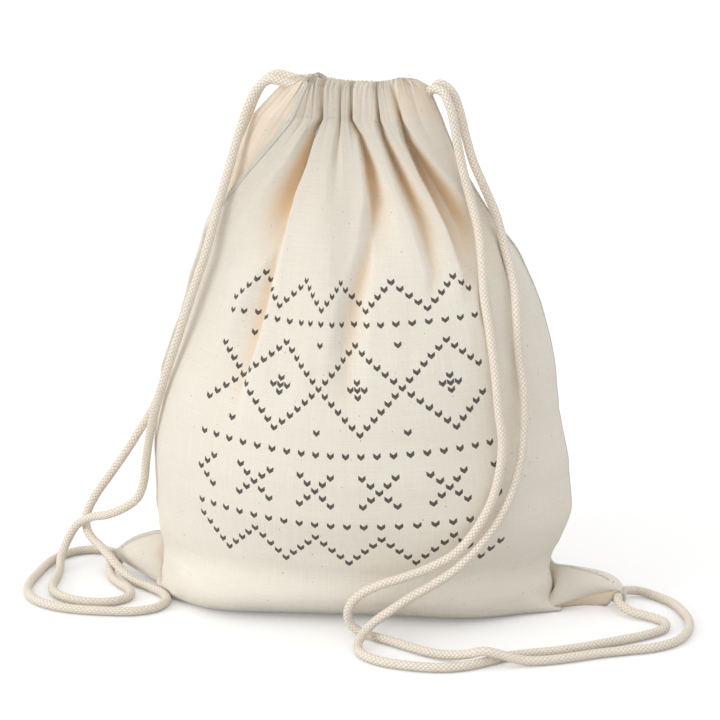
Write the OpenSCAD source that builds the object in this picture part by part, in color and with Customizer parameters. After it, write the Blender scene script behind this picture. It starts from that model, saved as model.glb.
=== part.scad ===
// Knitting bag: a filled cotton drawstring bag that stands on the floor.
// Millimetres, +Z up, front towards -Y, origin at the centre of the base.
// Two cloth panels are sewn at the sides and the bottom. Their folded hems hold two cords,
// and each cord is one length that is sewn at both ends into a bottom corner.

/* [Bag body] */
// Height of the gathered mouth's top edge above the floor
stand_h = 322; // [290:1:350]
// Width between the side seams at the belly
belly_w = 262; // [250:1:280]
// Depth across the belly, outside the cloth
belly_d = 176; // [150:1:190]
// Height of the belly above the floor
belly_z = 95; // [70:1:120]
// Width of the base between the side seams
base_w = 260; // [244:1:262]
// Depth of the base that rests on the floor, outside the cloth
base_d = 90; // [80:1:120]
// Thickness of a cloth panel
cloth_t = 1.2; // [0.8:0.1:1.6]
// How long the bag keeps its width on the way up to the mouth
width_curve = 2.1; // [1.5:0.05:2.4]
// How long the bag keeps its depth on the way up to the mouth
depth_curve = 1.6; // [1.2:0.05:2]
// Depth of the main folds below the hems
fold_d = 12; // [6:0.5:14]
// Sideways lean of the shoulders below the mouth
shoulder_x = -12; // [-14:1:0]

/* [Mouth and hems] */
// Width of the gathered mouth
mouth_w = 84; // [80:1:100]
// Clear slit between the front hem and the back hem
mouth_gap = 13; // [11:0.5:16]
// Sideways lean of the mouth from the centre of the base
mouth_x = -5; // [-8:1:0]
// Height of a folded hem
hem_h = 21; // [20:0.5:26]
// Depth of one gathered hem, front to back
hem_d = 9.4; // [9.2:0.2:11]

/* [Bottom corners] */
// Distance from the centre to the tip of a bottom corner
ear_x = 168; // [162:1:176]
// Height of a corner's tip above the floor
ear_z = 8; // [7:0.5:10]
// Height at which a corner flap leaves the side seam
ear_h = 32; // [26:1:40]
// Length of a corner flap's lower edge that lies on the floor
ear_foot = 6; // [2:1:12]
// Length of the sewn tack at a corner's tip
tack_l = 11; // [9:0.5:14]
// Height of the sewn tack
tack_h = 10; // [8:0.5:12]
// Thickness of the sewn tack, front to back
tack_t = 6.8; // [6:0.2:8]

/* [Cords] */
// Diameter of a cord
cord_d = 5.5; // [4.5:0.1:5.8]
// Play between a cord and the hem round it
cord_play = 0.3; // [0.2:0.05:0.4]
// Height between the two cords inside a hem
cord_pitch = 7; // [6.8:0.1:7.6]
// How far a cord's far bend can be drawn into the hem
cord_slack = 6; // [3:0.5:8]

/* [Seams] */
// Width of the seam allowance that stands inside the bag
seam_w = 8; // [5:0.5:10]
// Thickness of the two seam allowances that are overlocked together
seam_t = 1.6; // [1.2:0.1:2]
// Distance from a side seam's stitching to its allowance
seam_inset = 1; // [0.8:0.1:1.4]

/* [Fits] */
// Gap between pieces that lie against each other
fit_gap = 0.3; // [0.2:0.05:0.4]

/* [Hidden] */

cloth_colour = "Linen";
hem_colour = "AntiqueWhite";
seam_colour = "Wheat";
cord_colour = "BlanchedAlmond";
left = -1;
right = 1;
front = -1;
back = 1;
overcut = 1;

// How round the plan of the bag is: square at 0, lens-shaped towards 1
base_round = 0.4;
belly_round = 0.6;
mouth_round = 0.3;
steepest = 4;
// Swell of the sides above the floor
swell_power = 2.4;
// Main folds: where they run between the middle and the side seams, their width, and where they are deepest
front_folds = [-0.4, 0.2, 0.55, 0.82];
back_folds = [-0.62, -0.25, 0.12, 0.48, 0.78];
fold_w = 0.09;
fold_peak = 0.7;
shoulder_peak = 0.8;
columns = 48;
foot_rows = 2;
ear_rows = 3;
wall_rows = 16;

// Heights and depths of the hems and of the cords that they hold
layer_gap = fit_gap / 2;
hem_z = stand_h - hem_h;
panel_top = hem_z - fit_gap;
hem_y = mouth_gap / 2 + hem_d / 2;
cord_r = cord_d / 2;
bore_r = cord_r + cord_play;
upper_z = stand_h - hem_d / 2;
lower_z = upper_z - cord_pitch;
bend_reach = hem_y + cord_r + overcut;
open_end = bend_reach + cord_slack + fit_gap;
open_z = lower_z - bore_r - overcut;

// A corner's sewn tack starts where the flap ends, and the cords enter at its round tip's centre
tack_x = ear_x - tack_l;
tip_x = ear_x - tack_h / 2;

// Half sizes inside the cloth at the base, the belly and the mouth
side_d = cloth_t + layer_gap;
base_half_d = base_d / 2 - side_d;
belly_half_d = belly_d / 2 - side_d;
mouth_half_d = hem_y - cloth_t / 2 - layer_gap;

// Points that a cord's free strand passes on its way from the hem to its corner
left_front_route = [
    [-55, -11, 317], [-62, -11, 312], [-67, -12, 304], [-71, -14, 294], [-74, -18, 282], [-77, -23, 268],
    [-81, -29, 251], [-85, -36, 231], [-89, -40, 215], [-95, -42, 197], [-103, -43, 173], [-112, -41, 148],
    [-119, -36, 130], [-126, -28, 112], [-132, -19, 94], [-136, -13, 79], [-139, -9, 64], [-144, -8, 52],
    [-154, -7, 44], [-166, -4, 38], [-178, 1, 34], [-189, 5, 27], [-196, 5, 16], [-198, -3, 7],
    [-195, -15, 3], [-192, -29, 3], [-190, -43, 3], [-184, -57, 3], [-172, -66, 3], [-157, -69, 3],
    [-143, -65, 3], [-136, -54, 3], [-140, -42, 3], [-149, -33, 3], [-157, -23, 3], [-162, -12, 6]
];
left_back_route = [
    [-55, 11, 319], [-62, 11, 316], [-68, 12, 309], [-73, 14, 299], [-79, 18, 285], [-84, 23, 267],
    [-89, 29, 249], [-96, 31, 227], [-106, 31, 203], [-115, 30, 176], [-123, 29, 150], [-131, 24, 126],
    [-139, 18, 107], [-148, 14, 91], [-158, 13, 75], [-170, 15, 58], [-180, 17, 44], [-186, 15, 31],
    [-184, 9, 23], [-178, 2, 19], [-170, -6, 17], [-161, -14, 13], [-151, -21, 7], [-140, -28, 3],
    [-128, -36, 3], [-117, -45, 3], [-111, -57, 3], [-114, -70, 3], [-126, -79, 3], [-142, -82, 3],
    [-158, -83, 3], [-174, -81, 3], [-189, -74, 3], [-200, -61, 3], [-205, -44, 3], [-206, -26, 3],
    [-206, -8, 3], [-203, 9, 3], [-194, 22, 3], [-181, 26, 3], [-170, 21, 4], [-164, 13, 6]
];
right_front_route = [
    [45, -11, 311], [52, -11, 307], [57, -11, 298], [60, -12, 287], [65, -13, 272], [70, -15, 255],
    [76, -22, 238], [80, -31, 220], [83, -39, 201], [88, -47, 181], [92, -52, 160], [95, -56, 139],
    [98, -59, 119], [97, -62, 101], [93, -65, 84], [85, -72, 68], [74, -79, 55], [60, -84, 47],
    [45, -88, 41], [31, -90, 36], [19, -90, 29], [12, -88, 20], [11, -86, 11], [16, -86, 5], [24, -88, 3],
    [35, -93, 3], [48, -100, 3], [62, -107, 3], [76, -112, 4], [88, -116, 7], [98, -117, 10],
    [108, -115, 8], [120, -111, 4], [134, -105, 3], [148, -97, 3], [162, -88, 3], [177, -80, 3],
    [192, -72, 3], [204, -59, 3], [209, -43, 3], [209, -26, 3], [204, -10, 3], [196, 5, 3], [184, 16, 3],
    [173, 20, 4], [165, 13, 6]
];
right_back_route = [
    [45, 11, 311], [52, 10, 308], [58, 9, 300], [62, 7, 289], [68, 4, 275], [76, -1, 260], [84, -5, 244],
    [91, -14, 226], [98, -24, 208], [102, -35, 188], [104, -38, 167], [108, -43, 146], [109, -48, 124],
    [108, -53, 106], [104, -58, 88], [97, -64, 72], [87, -73, 58], [75, -81, 46], [62, -86, 37],
    [49, -89, 29], [38, -91, 21], [29, -92, 14], [23, -96, 8], [21, -105, 4], [25, -117, 3], [36, -126, 3],
    [50, -130, 3], [64, -131, 3], [78, -129, 3], [90, -123, 3], [100, -114, 3], [110, -104, 3],
    [122, -97, 3], [136, -90, 3], [150, -81, 3], [163, -71, 3], [176, -61, 3], [187, -51, 3],
    [195, -40, 3], [194, -29, 3], [185, -22, 3], [173, -18, 4], [165, -11, 6]
];
cord_sides = 10;

// Profile of the bag: swell runs from 0 at the floor to 1 at the belly, climb from 0 there to 1 at the hem
function swell(z) = 1 - pow(1 - min(z / belly_z, 1), swell_power);
function climb(z) = max(0, (z - belly_z) / (panel_top - belly_z));
function profile(z, base, belly, mouth, curve) =
    z < belly_z
        ? base + (belly - base) * swell(z)
        : mouth + (belly - mouth) * (1 - pow(climb(z), curve));
function half_w(z) = profile(z, base_w / 2, belly_w / 2, mouth_w / 2, width_curve);
function half_d(z) = profile(z, base_half_d, belly_half_d, mouth_half_d, depth_curve);
function roundness(z) = profile(z, base_round, belly_round, mouth_round, 2);

// Sideways lean: that of the mouth, and that of the shoulders, which goes back to 0 at the hem
function shoulder(c) = pow(c, 3) * (1 - pow(c, 6));
function lean(z) = mouth_x * pow(climb(z), 2) + shoulder_x * shoulder(climb(z)) / shoulder(shoulder_peak);

// Folds that run from the gathered hems and fade above the belly
function fade(c) = sin(180 * c) * pow(c, 2);
function dip(s, folds) = folds == [] ? 0 : max([for (f = folds) exp(-pow((s - f) / fold_w, 2))]);
function fold(s, z, folds) = fold_d * fade(climb(z)) / fade(fold_peak) * dip(s, folds);

// Depth of the inside at a distance x from the middle, and the wall's thickness measured front to back
function share(x, z) = max(-1, min(x / half_w(z), 1));
function lens(x, z, folds) =
    let (s = share(x, z), bow = pow(1 - pow(s, 2), roundness(z)))
        half_d(z) * bow - fold(s, z, folds) * bow;
function slope(x, z, folds) =
    abs(x) > half_w(z)
        ? 0
        : min(steepest, abs(lens(x + layer_gap, z, folds) - lens(x - layer_gap, z, folds)) / layer_gap / 2);
function wall(x, z, folds) = cloth_t * sqrt(1 + pow(slope(x, z, folds), 2));

// Edge of a panel: the side seam, and below it the flap that runs out to the corner's tack
foot_x = base_w / 2 + ear_foot;
function flap(z) =
    z < ear_z
        ? foot_x + (ear_x - foot_x) * z / ear_z
        : half_w(ear_h) + (ear_x - half_w(ear_h)) * (ear_h - z) / (ear_h - ear_z);
function edge(z) = z < ear_h ? max(half_w(z), min(flap(z), tack_x - fit_gap)) : half_w(z);

row_z = concat(
    [for (k = [0 : foot_rows]) ear_z * k / foot_rows],
    [for (k = [1 : ear_rows]) ear_z + (ear_h - ear_z) * k / ear_rows],
    [for (k = [1 : wall_rows]) ear_h + (panel_top - ear_h) * k / wall_rows]
);
seam_z = [for (z = row_z) if (z >= ear_h) z];

// Points across one row of a panel, from its left edge to its right edge
function across(z) = [for (i = [0 : columns]) edge(z) * sin(180 * i / columns - 90)];
function inner_row(z, rise, folds) =
    [for (x = across(z)) [x + lean(z), layer_gap + lens(x, z, folds), z + rise]];
function outer_row(z, folds) =
    [for (x = across(z)) [x + lean(z), layer_gap + lens(x, z, folds) + wall(x, z, folds), z]];
function seam_row(rise) = [for (x = across(0)) [x, layer_gap, rise]];

// Triangles between two neighbouring rows of n points each
function strip(first, second, n) = [
    for (i = [0 : n - 2])
        each [
            [first + i, first + i + 1, second + i],
            [first + i + 1, second + i + 1, second + i]
        ]
];
function turned(faces) = [for (f = faces) [f[2], f[1], f[0]]];
function flat(rows) = [for (r = rows) each r];

// A panel with its folds, as it stands at the back; the front panel is turned over
module panel(folds) {
    outer = concat([seam_row(0)], [for (z = row_z) outer_row(z, folds)]);
    inner = concat([seam_row(cloth_t)], [for (z = row_z) inner_row(z, z > 0 ? 0 : cloth_t, folds)]);
    n = columns + 1;
    rows = len(outer);
    half = rows * n;
    top = (rows - 1) * n;
    skin = [for (r = [0 : rows - 2]) each strip(r * n, (r + 1) * n, n)];
    lining = [for (f = skin) [f[2] + half, f[1] + half, f[0] + half]];
    bottom_edge = turned(strip(0, half, n));
    top_edge = strip(top, top + half, n);
    side_edges = [
        for (r = [0 : rows - 2])
            each [
                [r * n, (r + 1) * n, r * n + half],
                [(r + 1) * n, (r + 1) * n + half, r * n + half],
                [r * n + n - 1, r * n + n - 1 + half, (r + 1) * n + n - 1],
                [(r + 1) * n + n - 1, r * n + n - 1 + half, (r + 1) * n + n - 1 + half]
            ]
    ];
    polyhedron(concat(flat(outer), flat(inner)), concat(skin, lining, bottom_edge, top_edge, side_edges));
}

// A cylinder along X that starts at x = from and ends at x = to
module bar(from, to, r) {
    translate([from, 0, 0])
        rotate([0, 90, 0])
            cylinder(h = to - from, r = r);
}

// Folded hem with a round top, two channels for the cords, and ends that are open towards the mouth
module hem() {
    half = mouth_w / 2;
    difference() {
        translate([-half, 0, hem_z])
            rotate([90, 0, 90])
                linear_extrude(mouth_w) {
                    translate([-hem_d / 2, 0])
                        square([hem_d, hem_h - hem_d / 2]);
                    translate([0, hem_h - hem_d / 2])
                        circle(d = hem_d);
                }
        for (z = [lower_z, upper_z])
            translate([0, 0, z])
                bar(-half - overcut, half + overcut, bore_r);
        for (side = [left, right])
            translate([side * (half - open_end / 2 + overcut / 2), -hem_d / 2, (open_z + stand_h + overcut) / 2])
                cube([open_end + overcut, hem_d, stand_h + overcut - open_z], center = true);
    }
}

// Overlocked seam allowance along one side, inside the bag, that follows the lean of the mouth
module side_fin(side) {
    function section(z) = [
        for (c = [[0, -1], [1, -1], [1, 1], [0, 1]])
            [lean(z) + side * (half_w(z) - seam_inset - seam_w * c[0]), side * c[1] * seam_t / 2, z]
    ];
    points = [for (z = seam_z) each section(z)];
    rows = len(seam_z);
    last = 4 * (rows - 1);
    sides = [
        for (r = [0 : rows - 2], i = [0 : 3])
            each [
                [4 * r + i, 4 * r + 4 + i, 4 * r + (i + 1) % 4],
                [4 * r + (i + 1) % 4, 4 * r + 4 + i, 4 * r + 4 + (i + 1) % 4]
            ]
    ];
    caps = [[0, 1, 3], [1, 2, 3], [last, last + 3, last + 1], [last + 1, last + 3, last + 2]];
    polyhedron(points, concat(sides, caps));
}

// Thick sewn tip of a bottom corner, where the ends of a cord are caught
module tack() {
    translate([0, tack_t / 2, ear_z])
        rotate([90, 0, 0])
            linear_extrude(tack_t) {
                translate([tack_x, -tack_h / 2])
                    square([tip_x - tack_x, tack_h]);
                translate([tip_x, 0])
                    circle(d = tack_h);
            }
}

// The stretch of a cord that the hems hold: out along the front, round a bend, home along the back
module hairpin(side, z) {
    bend_x = mouth_w / 2 - bend_reach;
    translate([mouth_x, 0, z])
        mirror([side == left ? 0 : 1, 0, 0]) {
            for (face = [front, back])
                translate([0, face * hem_y, 0])
                    bar(-mouth_w / 2, bend_x, cord_r);
            translate([bend_x, 0, 0])
                rotate([0, 0, -90])
                    rotate_extrude(angle = 180)
                        translate([hem_y, 0])
                            circle(r = cord_r);
        }
}

// Sweep of a round cord along its points, with square ends along the directions that are given
function unit(v) = v / norm(v);
function heading(p, i, start, finish) =
    i == 0 ? start
    : i == len(p) - 1 ? finish
    : unit(unit(p[i + 1] - p[i]) + unit(p[i] - p[i - 1]));
function across_from(n, t) = unit(n - (n * t) * t);
function carried(ways, i, n) =
    i == len(ways) ? [] : let (m = across_from(n, ways[i])) concat([m], carried(ways, i + 1, m));
module swept(points, start, finish) {
    ways = [for (i = [0 : len(points) - 1]) heading(points, i, start, finish)];
    normals = carried(ways, 0, [0, 0, 1]);
    rings = [
        for (i = [0 : len(points) - 1], k = [0 : cord_sides - 1])
            let (turn = 360 * k / cord_sides)
                points[i] + cord_r * (cos(turn) * normals[i] + sin(turn) * cross(ways[i], normals[i]))
    ];
    count = len(points);
    last = (count - 1) * cord_sides;
    sides = [
        for (i = [0 : count - 2], k = [0 : cord_sides - 1])
            let (a = i * cord_sides + k, b = i * cord_sides + (k + 1) % cord_sides)
                each [[a, a + cord_sides, b], [b, a + cord_sides, b + cord_sides]]
    ];
    caps = [
        [for (k = [0 : cord_sides - 1]) k],
        [for (k = [cord_sides - 1 : -1 : 0]) last + k]
    ];
    polyhedron(rings, concat(sides, caps));
}

// A free strand from the front or back hem to the front or back of its own corner's tack
module strand(side, hem_face, tack_face, z, route) {
    exit = [mouth_x + side * (mouth_w / 2 + fit_gap), hem_face * hem_y, z];
    corner = [side * tip_x, tack_face * tack_t / 2, ear_z];
    swept(concat([exit], route, [corner]), [side, 0, 0], [0, -tack_face, 0]);
}

module front_panel() {
    color(cloth_colour)
        mirror([0, 1, 0])
            panel(front_folds);
}

module back_panel() {
    color(cloth_colour)
        panel(back_folds);
}

// The open side of a hem faces the mouth, so the front hem is turned over
module front_hem() {
    color(hem_colour)
        translate([mouth_x, -hem_y, 0])
            mirror([0, 1, 0])
                hem();
}

module back_hem() {
    color(hem_colour)
        translate([mouth_x, hem_y, 0])
            hem();
}

module left_side_seam() {
    color(seam_colour)
        side_fin(left);
}

module right_side_seam() {
    color(seam_colour)
        side_fin(right);
}

// Overlocked seam allowance that stands on the middle of the base, inside the bag
module bottom_seam() {
    length = base_w - 4 * seam_w;
    color(seam_colour)
        translate([-length / 2, -seam_t / 2, cloth_t + fit_gap])
            cube([length, seam_t, seam_w]);
}

module left_corner_tack() {
    color(seam_colour)
        mirror([1, 0, 0])
            tack();
}

module right_corner_tack() {
    color(seam_colour)
        tack();
}

module left_cord_hairpin() {
    color(cord_colour)
        hairpin(left, upper_z);
}

module right_cord_hairpin() {
    color(cord_colour)
        hairpin(right, lower_z);
}

module left_cord_front_strand() {
    color(cord_colour)
        strand(left, front, front, upper_z, left_front_route);
}

module left_cord_back_strand() {
    color(cord_colour)
        strand(left, back, back, upper_z, left_back_route);
}

module right_cord_front_strand() {
    color(cord_colour)
        strand(right, front, back, lower_z, right_front_route);
}

module right_cord_back_strand() {
    color(cord_colour)
        strand(right, back, front, lower_z, right_back_route);
}

front_panel();
back_panel();
front_hem();
back_hem();
left_side_seam();
right_side_seam();
bottom_seam();
left_corner_tack();
right_corner_tack();
left_cord_hairpin();
right_cord_hairpin();
left_cord_front_strand();
left_cord_back_strand();
right_cord_front_strand();
right_cord_back_strand();
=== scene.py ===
"""Looks of the knitting bag: calico cloth, gathered hems, seams, sewn corners and braided cords.

Metres, in the frame of the solids: +X right, front towards -Y, +Z up, origin at the centre of
the base.
"""

import math

import bpy
import numpy as np
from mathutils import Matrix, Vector


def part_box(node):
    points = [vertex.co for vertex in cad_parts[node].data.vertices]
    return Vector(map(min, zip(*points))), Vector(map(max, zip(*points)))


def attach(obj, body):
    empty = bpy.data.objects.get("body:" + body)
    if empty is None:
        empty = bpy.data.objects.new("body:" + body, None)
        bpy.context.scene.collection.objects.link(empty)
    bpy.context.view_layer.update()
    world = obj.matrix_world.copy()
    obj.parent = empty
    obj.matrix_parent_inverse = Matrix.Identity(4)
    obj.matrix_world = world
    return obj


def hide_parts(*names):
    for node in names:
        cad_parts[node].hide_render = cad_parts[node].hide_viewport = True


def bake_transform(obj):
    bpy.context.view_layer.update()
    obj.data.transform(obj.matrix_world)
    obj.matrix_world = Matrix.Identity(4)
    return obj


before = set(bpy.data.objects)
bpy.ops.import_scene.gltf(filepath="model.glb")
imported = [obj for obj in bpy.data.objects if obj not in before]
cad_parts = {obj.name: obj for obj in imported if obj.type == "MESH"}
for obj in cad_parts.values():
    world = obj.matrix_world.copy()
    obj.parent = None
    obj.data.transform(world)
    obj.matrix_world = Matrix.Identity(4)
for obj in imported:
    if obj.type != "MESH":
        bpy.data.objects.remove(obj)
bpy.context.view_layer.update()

MM = 0.001

# Sizes that the solids give
hem_low, hem_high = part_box("front_hem")
back_hem_low, back_hem_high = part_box("back_hem")
STITCH_Z, MOUTH_TOP = hem_low[2], hem_high[2]
MOUTH_LEFT, MOUTH_RIGHT = hem_low[0], hem_high[0]
HEM_Y = (back_hem_low[1] + back_hem_high[1]) / 2
hairpin_low, hairpin_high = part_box("left_cord_hairpin")
CORD_R = (hairpin_high[2] - hairpin_low[2]) / 2
UPPER_Z = hairpin_low[2] + CORD_R
LOWER_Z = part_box("right_cord_hairpin")[0][2] + CORD_R
FAR_BEND = HEM_Y + CORD_R + 1 * MM
tack_low, tack_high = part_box("right_corner_tack")
TACK_Z = (tack_low[2] + tack_high[2]) / 2
TIP_X = tack_high[0] - (tack_high[2] - tack_low[2]) / 2
TACK_Y = tack_high[1]

# Cloth as it was cut, up to the stitching under the hem, and the hem's own height
CLOTH_W = 0.350
CLOTH_H = 0.374
HEM_H = MOUTH_TOP - STITCH_Z


# Scene and camera

def placed(name, data):
    """New object in the scene."""
    made = bpy.data.objects.new(name, data)
    bpy.context.scene.collection.objects.link(made)
    return made


def look_from(azimuth, elevation, distance, aim, focal_px, frame_px):
    """Camera that looks at a point, with the focal length given in pixels of the frame."""
    a, e = math.radians(azimuth), math.radians(elevation)
    away = Vector((math.sin(a) * math.cos(e), -math.cos(a) * math.cos(e), math.sin(e)))
    data = bpy.data.cameras.new("camera")
    data.sensor_width = 36
    data.lens = data.sensor_width * focal_px / frame_px
    camera = placed("camera", data)
    camera.location = Vector(aim) + away * distance
    camera.rotation_mode = "QUATERNION"
    camera.rotation_quaternion = (-away).to_track_quat("-Z", "Y")
    bpy.context.scene.camera = camera


look_from(azimuth=12.2, elevation=14.7, distance=1.5, aim=(-0.0006, 0, 0.1488),
          focal_px=2428, frame_px=720)


# Shader expressions

class Val:
    """A socket of a material's node tree that can be used in Python expressions."""

    def __init__(self, tree, socket):
        self.tree, self.socket = tree, socket

    def math(self, operation, *values):
        inputs = dict(enumerate((self, *values)))
        return node(self.tree, "ShaderNodeMath", {"operation": operation}, inputs)[0]

    def __add__(self, other): return self.math("ADD", other)
    def __sub__(self, other): return self.math("SUBTRACT", other)
    def __rsub__(self, other): return self.math("MULTIPLY_ADD", -1.0, other)
    def __mul__(self, other): return self.math("MULTIPLY", other)
    def __truediv__(self, other): return self.math("DIVIDE", other)
    def __mod__(self, other): return self.math("FLOORED_MODULO", other)
    def __pow__(self, other): return self.math("POWER", other)
    def __abs__(self): return self.math("ABSOLUTE")
    __radd__, __rmul__ = __add__, __mul__
    def __lt__(self, other): return self.math("LESS_THAN", other)
    def __gt__(self, other): return self.math("GREATER_THAN", other)
    def floor(self): return self.math("FLOOR")
    def sin(self): return self.math("SINE")
    def near(self, other, width): return self.math("COMPARE", other, width)
    def most(self, other): return self.math("MAXIMUM", other)
    def least(self, other): return self.math("MINIMUM", other)

    def ramp(self, low, high):
        """0 below low, 1 above high, smooth between."""
        return node(self.tree, "ShaderNodeMapRange", {"interpolation_type": "SMOOTHSTEP"},
                    {"Value": self, "From Min": low, "From Max": high})[0]


def fill(tree, made, values):
    """Links or sets the input sockets of a node."""
    for key, value in values.items():
        if isinstance(value, Val):
            tree.links.new(value.socket, made.inputs[key])
        else:
            made.inputs[key].default_value = value


def node(tree, kind, settings=None, values=None):
    """Adds a node, sets it up, fills its sockets and returns its outputs as Val."""
    made = tree.nodes.new(kind)
    for key, value in (settings or {}).items():
        setattr(made, key, value)
    fill(tree, made, values or {})
    return [Val(tree, out) for out in made.outputs if out.enabled]


# Sockets of a node that mixes colours
MIX_FACTOR, MIX_FIRST, MIX_SECOND, MIX_RESULT = 0, 6, 7, 2


def mix(factor, first, second):
    """Colour that goes from first to second."""
    tree = factor.tree
    made = tree.nodes.new("ShaderNodeMix")
    made.data_type = "RGBA"
    first, second = ((*c, 1) if isinstance(c, tuple) else c for c in (first, second))
    fill(tree, made, {MIX_FACTOR: factor, MIX_FIRST: first, MIX_SECOND: second})
    return Val(tree, made.outputs[MIX_RESULT])


def stretched(x, y, sx, sy):
    """Vector with the two coordinates at different scales."""
    return node(x.tree, "ShaderNodeCombineXYZ", None, {"X": x * sx, "Y": y * sy, "Z": 0.0})[0]


def noise(u, v, u_cells, v_cells, detail):
    """Soft noise about 0.5, with its cells in one unit of u and v."""
    vector = stretched(u, v, u_cells, v_cells)
    values = {"Vector": vector, "Scale": 1.0, "Detail": detail, "Roughness": 0.5}
    return node(u.tree, "ShaderNodeTexNoise", {"noise_dimensions": "3D"}, values)[0]


def finish_with(build, roughness, sheen):
    """Material named after build(u, v), which gives its colour, height and the height's scale."""
    material = bpy.data.materials.new(build.__name__)
    material.use_nodes = True
    tree = material.node_tree
    place = node(tree, "ShaderNodeUVMap", {"uv_map": "cloth"})[0]
    u, v, _ = node(tree, "ShaderNodeSeparateXYZ", None, {0: place})
    colour, height, distance = build(u, v)
    relief = {"Height": height, "Strength": 1.0, "Distance": distance}
    fill(tree, tree.nodes["Principled BSDF"], {
        "Base Color": colour, "Roughness": roughness, "Specular IOR Level": 0.25,
        "Sheen Weight": sheen, "Sheen Roughness": 0.5,
        "Normal": node(tree, "ShaderNodeBump", None, relief)[0]})
    return material


# Colours in linear light
CALICO = (0.905, 0.86, 0.775)
CALICO_DARK = (0.80, 0.715, 0.58)
# Painted shade: the warm tan that folds and shaded spots take on.
CALICO_SHADE = (0.77, 0.52, 0.285)
SEED = (0.30, 0.19, 0.10)
INK = (0.052, 0.043, 0.036)
THREAD = (0.90, 0.85, 0.755)
BRAID = (0.94, 0.865, 0.755)
# Painted shade in the grooves between the braid's strands.
BRAID_GROOVE_SHADE = (0.76, 0.60, 0.43)

# Calico: pitch of the threads, cells of noise in a metre, share of the cells without a seed
WEAVE_PITCH = 0.62 * MM
SLUB_LONG, SLUB_THIN = 30, 1500
CLOUDS, GRAIN = 12, 900
FLECKS_U, FLECKS_V = 150, 120
BARE_CELLS = 0.86
# Height of one unit of relief on cloth and on braid
CLOTH_RELIEF, BRAID_RELIEF = 0.12 * MM, 0.10 * MM


def calico_ground(u, v):
    """Plain weave with slubs and seed flecks, with painted warm shade in folds and shaded spots:
    its colour and its height.
    """
    warp = (u * (2 * math.pi / WEAVE_PITCH)).sin()
    weft = (v * (2 * math.pi / WEAVE_PITCH)).sin()
    weave = warp * weft
    slub_u = noise(u, v, SLUB_LONG, SLUB_THIN, 3.0)
    slub_v = noise(u, v, SLUB_THIN, SLUB_LONG, 3.0)
    slubs = slub_u + slub_v - 1.0
    cloudy = noise(u, v, CLOUDS, CLOUDS, 2.0)
    grain = noise(u, v, GRAIN, GRAIN, 2.0)
    shade = 0.30 + 0.8 * slubs + 0.28 * (cloudy - 0.5) + 0.6 * (grain - 0.5)
    shade = shade.least(1.0).most(0.0)
    colour = mix(shade, CALICO, CALICO_DARK)
    painted_shade = node(u.tree, "ShaderNodeAttribute", {"attribute_name": "painted_shade"})[2]
    # Painted shade: the cloth turns warm tan by the amount stored on its points for folds and
    # shaded spots.
    colour = mix(painted_shade * 0.8, colour, CALICO_SHADE)
    place = {"Vector": stretched(u, v, FLECKS_U, FLECKS_V), "Scale": 1.0, "Randomness": 1.0}
    kind = {"feature": "F1", "voronoi_dimensions": "2D"}
    distance, tint = node(u.tree, "ShaderNodeTexVoronoi", kind, place)[:2]
    lot, size, _ = node(u.tree, "ShaderNodeSeparateColor", None, {0: tint})
    fleck = (distance < 0.02 + 0.045 * size) * (lot > BARE_CELLS)
    colour = mix(fleck * 0.62, colour, SEED)
    height = 0.5 * weave + 2.2 * slubs + 0.9 * (grain - 0.5)
    return colour, height


def stitches(across, along, pitch, width):
    """Row of stitches: 1 on the thread, 0 between."""
    thread = 0.72 * pitch
    return (abs(across) < width) * ((along % pitch) < thread)


def chart(u, v):
    """Ink of a knitting chart: rows of small V stitches in lozenges, zigzags, crosses and dots."""
    wide, tall = 5.0 * MM, 4.4 * MM
    first_col, last_col = -20, 18
    high_zigzag, lozenge_row, cross_row, low_zigzag = 57, 46, 32, 25
    dot_rows = 37, 55, 27
    shift = 200  # columns added so that no remainder is taken of a negative number
    same = 0.1
    col = ((u + shift * wide) / wide).floor() - shift
    row = (v / tall).floor()
    x = abs(((u + shift * wide) / wide) % 1.0 - 0.5)
    y = (v / tall) % 1.0 - 0.5
    stitch = (abs(y + 0.16 - 0.95 * x) < 0.31) * (x < 0.46)
    inside = (col > first_col - 0.5) * (col < last_col + 0.5)

    def wave(period):
        return abs((col + 2 * shift) % period - period / 2)

    zigzag = row.near(high_zigzag + wave(8), same).most(row.near(low_zigzag - wave(8), same))
    from_mid = abs(row - lozenge_row)
    lozenge = (wave(12) + from_mid).near(6, same).most((wave(12) + from_mid) < 1.5)
    small = wave(12).near(6, same) * from_mid.near(6, same)
    rise = abs(row - cross_row)
    cross = wave(8).near(rise, same) * (rise < 2.5)
    one, two, three = (row.near(at, same) for at in dot_rows)
    dots = one.most(two).most(three) * ((col + 2 * shift) % 2 < 0.5)
    return stitch * inside * zigzag.most(lozenge).most(small).most(cross).most(dots)


def front_calico(u, v):
    colour, height = calico_ground(u, v)
    worn = noise(u, v, 1400, 1400, 2.0)
    ink = chart(u, v) * (0.92 + 0.5 * (worn - 0.5)).least(1.0)
    colour = mix(ink, colour, INK)
    return hem_stitching(u, v, colour, height)


def back_calico(u, v):
    return hem_stitching(u, v, *calico_ground(u, v))


def hem_stitching(u, v, colour, height):
    """Adds the row of stitches under the hem."""
    row = stitches(v - (CLOTH_H + 1 * MM), u, pitch=3.4 * MM, width=0.45 * MM)
    colour = mix(row * 0.5, colour, THREAD)
    return colour, height + 3.0 * row, CLOTH_RELIEF


def seam_calico(u, v):
    colour, height = calico_ground(u, v)
    row = stitches(u, v, pitch=3.0 * MM, width=0.4 * MM)
    colour = mix(row * 0.35, colour, CALICO_DARK)
    return colour, height - 2.0 * row, CLOTH_RELIEF


# Braid: strands round the cord, and their turn along it in radians per metre
BRAID_CELLS = 7
BRAID_TURN = 1.12 / MM


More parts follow.
